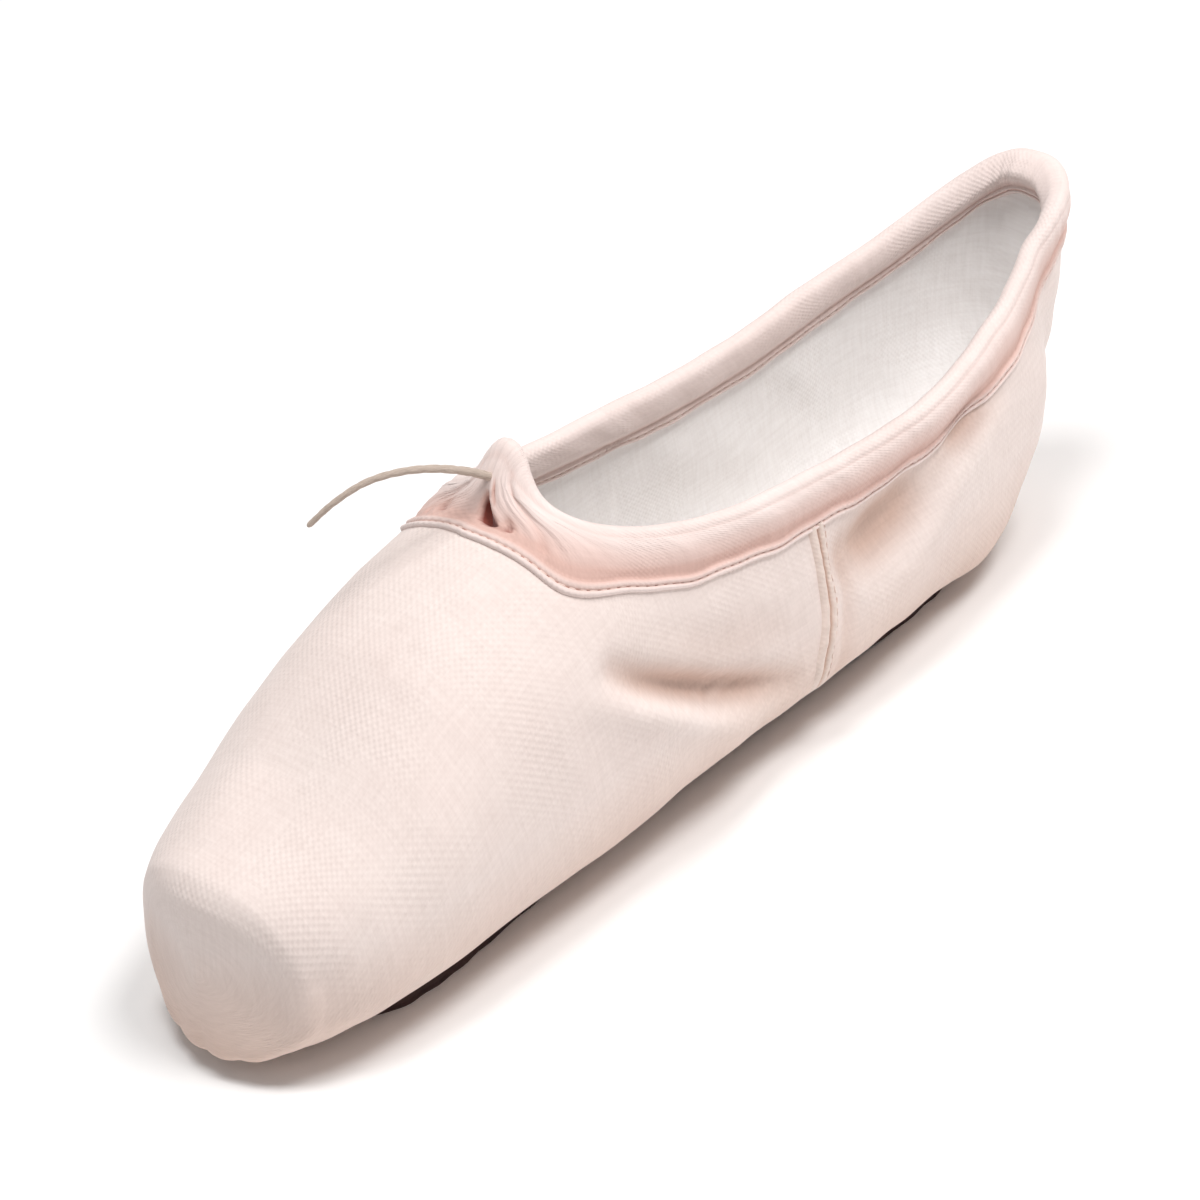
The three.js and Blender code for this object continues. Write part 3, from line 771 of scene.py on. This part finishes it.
FOLDS = [  # (path, depth, width) in mm
    # the long hollow under the collar, where the side sinks in beside the arch
    ([(35.5, 31.5, 46), (30.0, 32.6, 40.6), (22.0, 33.3, 34.6), (13.4, 33.1, 28.6),
      (4, 32.6, 23.5), (-5, 31, 19)], 5.4, 3.4),
    ([(28, 30.5, 47), (14, 31.5, 38), (2, 31.5, 33), (-8, 31, 29)], 1.4, 6.0),
    # the full ridge of cloth beneath it
    ([(43, 31.5, 43), (31.6, 33.7, 34.0), (20.3, 33.6, 25.4), (8, 32.5, 16)], -1.9, 3.4),
    # the hollow of the heel, its upper end and the swell under both
    ([(-26, 31.2, 35.5), (-34, 31, 35), (-43, 30.8, 36), (-52, 30.3, 38.5)], 5.4, 6.0),
    ([(-60, 29, 40), (-67, 28.2, 41.5), (-76, 26.5, 43.5)], 4.4, 3.8),
    ([(-32, 31, 21), (-44, 30.5, 24), (-56, 29.5, 30), (-66, 28, 35)], -1.7, 4.6),
    # where the cloth is drawn in behind the side seam
    ([(-26.5, 31, 40), (-25, 31.6, 30), (-21, 31, 20), (-19, 30, 12)], 1.5, 2.0),
    # the empty heel falls in a little at its back and spreads at its foot
    ([(-99, 18, 48), (-107, 16, 38), (-106, 16, 28), (-100, 18, 16)], 3.9, 8.5),
    ([(-60, 25, 6), (-76, 22, 7), (-90, 18, 9)], -2.4, 5.0),
    # the far side has its own, shallower
    ([(38, -30, 46), (28, -33, 36), (14, -33, 27), (2, -32, 20)], 1.3, 5.5),
    ([(-30, -31, 36), (-44, -30.5, 32), (-56, -29, 27)], 1.3, 6.5),
    ([(-70, -28, 40), (-76, -27, 30)], 1.0, 4.0),
    # the paste box is fullest at its top, on the far side
    ([(110, -8, 38), (100, -9, 42.5), (92, -10, 46)], -1.5, 8.0),
    # short puckers where the binding gathers the throat
    ([(38, 3, 71), (48, 4, 70.6)], 0.5, 1.3), ([(38, -3, 71), (48, -4.5, 70.6)], 0.5, 1.4),
    ([(39, 8, 69.6), (47, 11, 69)], 0.4, 1.5), ([(38, -9, 69.6), (46, -12, 69)], 0.4, 1.5),
]


def folds_at(points):
    """How far the folds move the cloth at each point."""
    return sum(trough(points, path, deep, wide) for path, deep, wide in FOLDS)


def unevenness_at(points):
    """Soft cloth is never even: broad hills and small ones."""
    return 0.32 * uneven_cloth(points, 34.0, 14, 21) + 0.10 * uneven_cloth(points, 11.0, 14, 22)


canvas_move = folds_at(canvas_points)
# painted shade in the deeper troughs of the folds, on the left (+Y) side only
canvas_fold_shade = 1.1 * unit(-canvas_move / 4.6) ** 1.1 * (canvas_points[..., 1] > 0)
canvas_fold_shade *= unit((canvas_points[..., 0] + 92) / 12)  # the heel's own hollow gets no painted shade
# the paste keeps the box smoother than the soft cloth
share_here = row_share[:, None]
soft = np.clip((share_here - 0.16) / 0.3, 0.25, 1.0)
canvas_move += soft * unevenness_at(canvas_points)
# the platform's rim stands up as a soft ridge, round its top and sides. At the top it runs back
# into the vamp
rim_far = share_here * LENGTH - 4.0
rim_up = unit((canvas_points[..., 2] - 4) / 8)
rim_top = unit((canvas_points[..., 2] - 22) / 12)
rim_wide = np.where(rim_far > 0, 2.2 + 13.0 * rim_top, 2.2)
canvas_move += (0.9 + 0.5 * rim_top) * bell(rim_far, rim_wide) * rim_up
# under the toe the canvas is pleated into the sole's front end
fan = np.arctan2(canvas_points[..., 1], canvas_points[..., 0] - (TOE_X - 30.0))
low = unit((11.5 - canvas_points[..., 2]) / 7.0) * unit((0.135 - share_here) / 0.05)
canvas_move += low * (0.55 * np.abs(np.sin(fan * 8.5 + 0.8 * np.sin(fan * 3))) - 0.25)
# inside, the lining shows where the side seams are sewn
for side in (1, -1):
    for shift in (-0.9, 0.9):
        sewn = [(np.interp(h, (4, 29, 52), (-13.2, -18.1, -21.6)) + shift, side * 31.5, h)
                for h in (12, 20, 29, 38, 47)]
        canvas_move += trough(canvas_points, sewn, 0.28, 0.75)
print(len(FOLDS), "folds, deepest", round(float(canvas_move.min()), 2), "mm")

# %% The upper
canvas_laid = canvas_points + canvas_move[..., None] * canvas_normals
along = run_along(canvas_points[:, AROUND // 2])
around = np.stack([run_along(row) for row in canvas_points])
around -= around[:, [AROUND // 2]]
canvas_uv = np.stack([along[:, None] + 0 * around, around], axis=2)
upper = laid_grid("upper_canvas", canvas_laid, canvas_uv, canvas_fold_shade)
weld_and_face_out(upper)
centres = np.empty(len(upper.data.polygons) * 3)
upper.data.polygons.foreach_get("center", centres)
centres = centres.reshape(-1, 3) / MM
depth = depth_below_collar(centres[:, 0], centres[:, 2])
RAW_EDGE, SLOT_CLEAR = 3.5, 7.3  # where the canvas ends in the casing, and how much lower it ends
at_throat = unit(1 - np.abs(centres[:, 1]) / 15.0) ** 0.5 * (centres[:, 0] > 16)
drop_faces(upper, depth < RAW_EDGE + SLOT_CLEAR * at_throat)  # behind the throat's slot
places = np.array([v.co[:] for v in upper.data.vertices]) / MM
thick = upper.vertex_groups.new(name="wall")
shares_near = unit((TOE_X - places[:, 0]) / LENGTH)
for index, value in enumerate(wall_at(shares_near) / BOX_WALL):
    thick.add([index], float(value), "REPLACE")
upper.data.materials.append(canvas_finish)
upper.data.materials.append(lining_finish)
apply_modifier(upper, "SOLIDIFY", thickness=BOX_WALL * MM, offset=-1.0, vertex_group="wall",
               material_offset=1, material_offset_rim=1, use_quality_normals=True)
smooth(upper, 80)
ready(upper, None, "canvas", "upper")

# %% [markdown]
# The binding's section is a folded strip: up the outside, over the edge and down the inside. It is
# swept along lines round the opening, and these lines follow the folds of the canvas under them.

# %% The binding's section and its lines


def cloth_move(points):
    """How far the canvas has moved at each point, so that what is sewn to it follows."""
    return folds_at(points) + unevenness_at(points)


PROFILE = [  # down the canvas, out of it (or in, under zero), in mm
    (11.25, -0.3), (11.28, 0.3), (11.1, 0.75), (10.75, 0.92), (10.4, 0.72), (10.2, 0.30),
    (10.0, 0.70), (9.65, 0.95), (9.3, 0.85), (9.0, 0.40), (8.7, 0.12), (8.2, 0.22), (7.6, 0.50),
    (7.0, 0.78), (6.2, 1.05), (5.4, 1.25), (4.6, 1.42), (3.8, 1.55), (3.0, 1.62), (2.2, 1.62),
    (1.6, 1.50), (1.2, 1.32), (0.8, 1.42), (0.2, 1.42), (-0.5, 1.05), (-1.0, 0.3), (-1.2, -0.7),
    (-0.9, -2.1), (0.0, -2.8), (1.3, -3.2), (2.8, -3.5), (4.4, -3.55), (5.8, -3.2), (6.8, -2.6),
    (7.5, -2.35), (8.0, -2.75), (8.45, -2.85), (8.85, -2.5), (9.25, -2.85), (9.7, -2.75),
    (9.9, -2.3), (9.8, -1.5)]
downs = np.linspace(-1.6, 14.4, 33)
lines = drawn_in(np.stack([round_line(d) for d in downs]))  # down, column, xyz
line_normals = grid_normals(lines, True)
line_normals = blended(line_normals, 12)
line_normals /= np.linalg.norm(line_normals, axis=2, keepdims=True)
lines = blended(lines + line_normals * cloth_move(lines)[..., None], 6)  # cloth has no kinks
column_count = lines.shape[1]
run = np.arange(column_count) * HALF_ROUND / HALF_COLUMNS
away_from_throat = np.minimum(run, 2 * HALF_ROUND - run)
away_from_heel = HALF_ROUND - away_from_throat


def on_canvas(column, down, out):
    """A point by its place along the opening, down the canvas and out of it."""
    k = np.clip((down - downs[0]) / (downs[1] - downs[0]), 0, len(downs) - 1.001)
    i = k.astype(int)
    t = (k - i)[:, None]
    p = lines[i, column] * (1 - t) + lines[i + 1, column] * t
    n = line_normals[i, column] * (1 - t) + line_normals[i + 1, column] * t
    n /= np.linalg.norm(n, axis=1, keepdims=True)
    return p + n * out[:, None]


print("binding's lines", lines.shape)

# %% [markdown]
# The cloth is fullest in the middle of each face, where the drawstring runs, and it gathers into
# fine folds at the throat and at the heel. The deeper creases at the throat are laid in one by one.
# The first is the slot that the cord comes out of, and its colour is painted dark, as shade.

# %% Gathers
throat_gather = bell(away_from_throat, 16.0)
heel_gather = bell(away_from_heel, 20.0)
gather = 0.16 + 0.5 * throat_gather + 0.6 * heel_gather
ripple = uneven(run, 4.3, 7, 3) * gather
sway = uneven(run, 17.0, 5, 5)
side_run = np.where(run > HALF_ROUND, run - 2 * HALF_ROUND, run)  # 0 at the throat's middle
GATHERS = [  # place along the edge, slant, from and to down the canvas, depth, width, painted shade
    (1.8, 0.26, 3.3, 7.9, 2.6, 0.85, 3.0),
    (1.7, -1.00, 5.0, 8.0, 1.1, 0.75, 1.0),
    (4.0, 0.20, 2.3, 4.2, 1.0, 0.5, 2.0),
    (-3.4, 1.10, 4.8, 7.9, 0.9, 1.0, 0.9),
    (8.0, -1.00, 1.5, 8.0, 0.7, 1.5, 0.25),
    (-8.0, 0.80, 2.0, 8.4, 0.8, 1.4, 0.3),
    (1.6, 0.0, 8.6, 9.4, 0.6, 0.7, 2.2),
    (-2.8, 0.0, 8.5, 9.3, 0.6, 0.9, 2.2),
    (13.0, -0.5, 0.5, 7.0, 0.4, 1.9, 0.1),
    (-13.0, 0.5, 0.5, 7.0, 0.5, 1.9, 0.1),
]
reach = (0.88 + 0.27 * bell(side_run, 24.0)  # the strip is widest at the throat
         + 0.13 * bell(np.abs(side_run) - 16.0, 6.0)
         - 0.05 * bell(np.abs(side_run) - 28.0, 8.0)
         - 0.27 * bell(away_from_heel, 42.0))  # and narrow at the heel
flatter = 1 - 0.35 * bell(away_from_heel, 40.0)
RIPPLE, SWAY, LIP_SWAY, HEEL_PUFF = 0.22, 0.18, 0.25, 2.4  # how far each moves the cloth, in mm
print(len(GATHERS), "creases at the throat")

# %% [markdown]
# Each row of the section is now moved by its ripples and creases, and marked with how much painted
# shade its colour gets: under the roll, in the sewn grooves and inside a crease.

# %% The binding's surface
column = np.arange(column_count)
rows, band_shades = [], []
for k, (down, out) in enumerate(PROFILE):
    full = unit(1 - abs(down - 4.5) / 6.5) ** 0.7
    outward = 1 if out > -0.8 else -1
    shift = RIPPLE * ripple * full * outward + SWAY * sway * full
    # painted shade: under the roll, in the sewn grooves, and along the inner face's grooves
    shade_under_roll = bell(down - 8.1, 1.6) + 0.55 * bell(down - 5.3, 2.2)
    sewn = bell(down - 10.2, 0.16) + 0.25 * bell(down - 1.2, 0.3)
    inside = 0.5 * bell(down - 7.3, 0.8) + 0.8 * bell(down - 8.85, 0.2)
    shade = np.full(column_count, 1.05 * shade_under_roll + 0.9 * sewn if out > -0.9 else inside)
    if outward > 0:
        for at, slant, start, end, deep, wide, dark in GATHERS:
            window = unit((down - start) / 0.9) * unit((end - down) / 0.9)
            off = side_run - at - slant * (down - 9.0)
            groove = window * bell(off, wide)
            shift = shift - deep * groove
            shade = shade + dark * groove
    else:
        thinner = (0.9 if down < 6 else -0.4) if out < -2.0 else 0.0
        shift = shift + thinner * bell(away_from_throat, 10.0)
    puff = heel_gather * full * (HEEL_PUFF if outward < 0 else 0.0)
    face = (out if out < 0 else out * flatter) + shift - puff
    if outward > 0 and down < 9.8:  # the canvas under the strip sets how deep a fold can go
        face = face + 0.35 * bell(side_run, 22.0) * (7.0 < down < 9.2)
        room = 1.9 * bell(side_run, 3.2) * unit((9.6 - down) / 0.8)
        room = room + 1.0 * bell(side_run, 8.0) * unit((8.0 - down) / 2.0)
        face = np.maximum(face, 0.12 - room) if down > 0 else face
    d = down * (reach if down > 0 else 1.0) + LIP_SWAY * sway * (1 if down > 8 else 0.3)
    rows.append(on_canvas(column, d, face))
    band_shades.append(shade)
band = closed(np.stack(rows + rows[:1]))  # the section closes, and so does the ring
across = run_along(np.array(PROFILE + PROFILE[:1]))
run_closed = np.concatenate([run, [2 * HALF_ROUND]])
band_uv = np.stack(np.broadcast_arrays(run_closed, across[:, None]), axis=2)
binding = laid_grid("collar_casing", band, band_uv, closed(np.stack(band_shades + band_shades[:1])))
weld_and_face_out(binding)
smooth(binding, 70)
ready(binding, binding_finish, "binding", "collar_binding")

# %% [markdown]
# A row of stitches holds each lip of the binding, outside and inside. One stitch is modelled, a
# little drawn-out bead of thread, and copied along a line on the cloth, each copy turned to the line
# and to the cloth under it.

# %% Stitches
thread_finish = grained_finish("thread", 0.7, dict(scale=900.0, detail=2.0, rough=0.5),
                               [(0.3, (0.68, 0.50, 0.44)), (0.7, (0.86, 0.72, 0.66))],
                               Sheen_Weight=0.3)


LIP_STITCH, SEAM_STITCH = (2.1, 1.6, 0.42, 0.34), (2.3, 1.7, 0.4, 0.32)  # pitch, then the size


def stitch_line(name, line, normals, stitch, slot):
    """Copies one stitch along a line of points on the cloth."""
    pitch, long, wide, high = stitch
    deselect()
    bpy.ops.mesh.primitive_uv_sphere_add(segments=6, ring_count=5, radius=1.0)
    bead = bpy.context.object
    shape = np.array([v.co[:] for v in bead.data.vertices])
    shape = shape[:, [2, 0, 1]]  # its poles lie along the line
    faces = [list(f.vertices) for f in bead.data.polygons]
    bpy.data.objects.remove(bead)
    gone = run_along(line)
    count = int(gone[-1] / pitch)
    points, polygons = [], []
    for k in range(count):
        at = (k + 0.5) * pitch
        here, a, b = [read_line(at + d, gone, line) for d in (0.0, -0.3, 0.3)]
        up = read_line(at, gone, normals)
        ahead = (b - a) / np.linalg.norm(b - a)
        up = up - ahead * (up @ ahead)
        up /= np.linalg.norm(up)
        side = np.cross(up, ahead)
        size = 1 + 0.10 * math.sin(k * 2.4) + 0.06 * math.sin(k * 5.1)
        frame_of = np.stack([ahead * long / 2 * size, side * wide / 2, up * high / 2])
        polygons += [[v + len(points) * len(shape) for v in f] for f in faces]
        points.append(here + shape @ frame_of)
    mesh = bpy.data.meshes.new(name)
    mesh.from_pydata((np.concatenate(points) * MM).tolist(), [], polygons)
    piece = bpy.data.objects.new(name, mesh)
    bpy.context.collection.objects.link(piece)
    smooth(piece, 80)
    ready(piece, thread_finish, slot)


def lip_line(down, out):
    """A row of stitches' line and the cloth's directions along it."""
    d = down * reach + LIP_SWAY * sway
    placed = on_canvas(column, d, np.full(column_count, out))
    k = int((down - downs[0]) / (downs[1] - downs[0]))
    return (np.concatenate([placed, placed[:1]]),
            np.concatenate([line_normals[k], line_normals[k][:1]]))


lip, lip_up = lip_line(10.2, 0.42)
stitch_line("lip_stitches", lip, lip_up, LIP_STITCH, "binding")
lip, lip_up = lip_line(8.85, -2.6)
stitch_line("inner_lip_stitches", lip, -lip_up, LIP_STITCH, "binding")

# %% [markdown]
# A lapped seam closes each quarter. It is a narrow strip that follows the canvas from the binding to
# the sole, a little curved, as the cloth pulls it.

# %% Side seams
SEAM_PATH = ([4, 14.2, 19.2, 24.9, 29.0, 35.7, 43.9, 52], [-13.2, -13.2, -14.2, -16.6, -18.1, -19.4,
                                                          -20.6, -21.6])  # height, place, in mm
SEAM_SECTION = ([-1.9, -1.65, -1.3, -0.95, -0.6, -0.3, -0.05, 0.2, 0.45, 0.8, 1.15, 1.5, 1.8, 2.0],
                [-0.2, 0.3, 0.62, 0.74, 0.66, 0.4, 0.0, 0.0, 0.6, 0.95, 0.9, 0.6, 0.25, -0.2])


def quarter_points(x, z):
    """Points of the last's side for places seen from the side, at any height."""
    s = share_at(x, z)
    high = z >= widest_at(s)
    e = np.where(high, 2 / above_at(s), 2 / below_at(s))
    up = np.where(high, (z - widest_at(s)) / (crown_at(s) - widest_at(s)),
                  (widest_at(s) - z) / (widest_at(s) - floor_at(s)))
    sine = unit(up) ** (1 / e)
    return half_at(s) * np.sqrt(unit(1 - sine ** 2)) ** e


def side_seam(name, side, node_name):
    """A strip with two raised folds and the sewn groove between them, and its row of stitches."""
    steps = 90
    z = np.linspace(45.8, 5.6, steps)[:, None]
    half = np.array(SEAM_SECTION[0])[None, :]
    x = np.interp(z, *SEAM_PATH) - half
    for _ in range(2):
        x[1:-1] = (x[:-2] + 2 * x[1:-1] + x[2:]) / 4
    z = np.repeat(z, half.shape[1], axis=1)
    points = np.stack([x, side * quarter_points(x, z), z], axis=2)
    normals = side * grid_normals(points, False)
    points = points + normals * cloth_move(points)[..., None]
    wobble = 1 + 0.12 * uneven(z[:, :1], 4.0, 6, 31)
    fade = unit((z[:, :1] - 8.5) / 14.0)
    proud = 0.05 + np.array(SEAM_SECTION[1])[None, :] * wobble * fade - 0.5 * (1 - fade) ** 3
    raised = points + normals * proud[..., None]
    # painted shade along the sewn groove between the two folds, and a little over the whole strip
    groove = np.repeat(bell(half - 0.08, 0.3) * 1.1 + 0.25, steps, axis=0)
    piece = laid_grid(name, raised, np.stack(np.broadcast_arrays(z, half), axis=2), groove)
    apply_modifier(piece, "SOLIDIFY", thickness=0.3 * MM, offset=0.0)
    smooth(piece, 60)
    ready(piece, seam_finish, "seam_tape", node_name)
    sewn = (points[:, -1] + normals[:, -1] * 0.10 + (-0.5, 0, 0))[:-16]
    stitch_line(name + "_stitches", sewn, normals[:-16, -1], SEAM_STITCH, "seam_tape")


side_seam("seam_left", 1, "side_seam_left")
side_seam("seam_right", -1, "side_seam_right")

# %% [markdown]
# The leather sole is a thin slab under the shoe, widest under the ball. A grid takes its outline,
# Solidify gives it its thickness and Bevel softens the cut edge.

# %% The leather sole
SOLE_SHARES = (.105, .115, .135, .165, .2, .25, .3, .36, .44, .54, .66, .78, .84, .885, .915, .93)
SOLE_HALVES = (.32, .58, .8, .91, .92, .87, .82, .79, .79, .79, .8, .76, .67, .52, .33, .06)
SLAB = SOLE_THICK + 0.4  # it reaches a little into the canvas, so that no light shows between
sole_half = read_smoothly(SOLE_SHARES, SOLE_HALVES, SOLE_WIDE / 2)
sole_finish = grained_finish("sole_leather", 0.6, dict(scale=70.0, detail=4.0),
                             [(0.3, (0.030, 0.012, 0.010)), (0.75, (0.075, 0.032, 0.026))],
                             dict(scale=900.0), 0.00012)
sole_rows = (1 - np.cos(np.linspace(0, np.pi, 121)[:, None])) / 2
sole_share = SOLE_SHARES[0] + (SOLE_SHARES[-1] - SOLE_SHARES[0]) * sole_rows
sole_across = np.linspace(-1, 1, 25)
sole_edge = sole_half(sole_share) + 0.25 * uneven(sole_share * LENGTH, 9.0, 6, 11) * abs(sole_across)
sole_points = flat_points(sole_share, sole_across, sole_edge, lift_at(sole_share) + SLAB)
ready(slab("leather_sole", sole_points, SLAB, 0.5), sole_finish, "sole_leather", "outsole")

# %% [markdown]
# Inside lies a sock board. The same way serves: a grid with the board's outline, a thin wall and a
# softened edge, with the lining's cotton over it.

# %% The sock board
board_finish = cloth_finish("sock_cotton", (0.90, 0.86, 0.82), (0.86, 0.81, 0.77), pitch=0.0006)
BOARD = 1.5  # its thickness in mm
board_share = 0.1 + 0.81 * (1 - np.cos(np.linspace(0, np.pi, 81)[:, None])) / 2
board_middle = (2 * board_share - 1.01) / 0.81
board_half = np.maximum(3.0, (sole_half(np.clip(board_share, 0.165, 0.84)) - 3.0)
                        * np.sqrt(unit(1 - board_middle ** 8)))
board_across = np.linspace(-1, 1, 21)
board_up = floor_at(board_share) + wall_at(board_share) + 1.9 + 0.3 * (1 - board_across ** 2)
board_points = flat_points(board_share, board_across, board_half, board_up)
ready(slab("sock_board", board_points, BOARD, 0.4), board_finish, "sock_board", "insole")

# %% [markdown]
# The drawstring is a thin braided cotton cord. A tube is laid round its route, and two sets of
# yarns that wind in opposite directions stand a little proud of it.

# %% The drawstring
fibre = dict(scale=1.0, stretch=(700, 4200, 1))
cord_finish = grained_finish("cord", 0.85, fibre, [(0.3, (0.42, 0.33, 0.27)), (0.7, (0.60, 0.50, 0.43))],
                             fibre, 0.0001, "UV", Sheen_Weight=0.3)


def tube(line, radius, around, braid):
    """Rings of points round a line, with the yarns of a braid raised on them."""
    ahead = np.gradient(line, axis=0)
    ahead /= np.linalg.norm(ahead, axis=1, keepdims=True)
    side = np.cross(ahead, (0.0, 0.0, 1.0))
    side /= np.linalg.norm(side, axis=1, keepdims=True)
    lift = np.cross(side, ahead)
    s = run_along(line)
    a = np.linspace(0, 2 * np.pi, around + 1)
    wind = 2 * np.pi * s[:, None] / 3.2
    yarn = np.maximum(np.sin(2 * a + wind), np.sin(2 * a - wind))
    r = radius[:, None] * (1 - braid + braid * yarn)
    points = line[:, None, :] + r[..., None] * (np.cos(a)[None, :, None] * side[:, None, :]
                                                + np.sin(a)[None, :, None] * lift[:, None, :])
    return points, np.stack(np.broadcast_arrays(s[:, None], a * CORD_RADIUS), axis=2)


fine_line = smooth_route(ROUTE, 240)
cord_share = np.linspace(0, 1, len(fine_line))
cord_radius = CORD_RADIUS * (1 - 0.35 * cord_share ** 1.2) * np.ones(len(fine_line))
cord_radius[:3] *= (0.02, 0.7, 0.95)
cord_radius[-4:] *= (0.93, 0.8, 0.55, 0.02)
cord_points, cord_uv = tube(fine_line, cord_radius, 20, 0.06)
drawstring = laid_grid("drawstring_end", cord_points, cord_uv)
weld_and_face_out(drawstring, 1e-5)
smooth(drawstring, 80)
ready(drawstring, cord_finish, "cord", "drawstring")

# %% [markdown]
# The studio is plain: a wide pale floor, a big soft light high on the camera's side towards the
# heel, a weaker one overhead and an even surround. Soft light keeps the folds gentle.

# %% Floor and light
deselect()
bpy.ops.mesh.primitive_plane_add(size=8, location=(0, 0, 0))
floor = bpy.context.object
floor.name = "studio_floor"
floor_finish, _, floor_shader = new_finish("floor_paper", 0.9)
floor_shader.inputs["Base Color"].default_value = (0.95, 0.95, 0.95, 1)
floor.data.materials.append(floor_finish)


def soft_light(name, place, aim, size, power, colour=(1, 1, 1)):
    bpy.ops.object.light_add(type="AREA", location=place)
    light = bpy.context.object
    light.name = name
    light.data.shape = "DISK"
    light.data.size = size
    light.data.energy = power
    light.data.color = colour
    light.rotation_euler = (Vector(aim) - Vector(place)).to_track_quat("-Z", "Y").to_euler()


soft_light("key_light", (-0.55, 0.85, 1.9), (0.0, 0, 0.03), 0.8, 26.0, (1.0, 0.985, 0.975))
soft_light("top_light", (0.0, -0.05, 2.1), (0, 0, 0.03), 0.9, 21.0, (1.0, 0.99, 0.985))
world = bpy.data.worlds.new("studio")
bpy.context.scene.world = world
world.use_nodes = True
surround = world.node_tree.nodes["Background"]
surround.inputs[0].default_value = (1.0, 0.995, 0.99, 1)
surround.inputs[1].default_value = 0.30
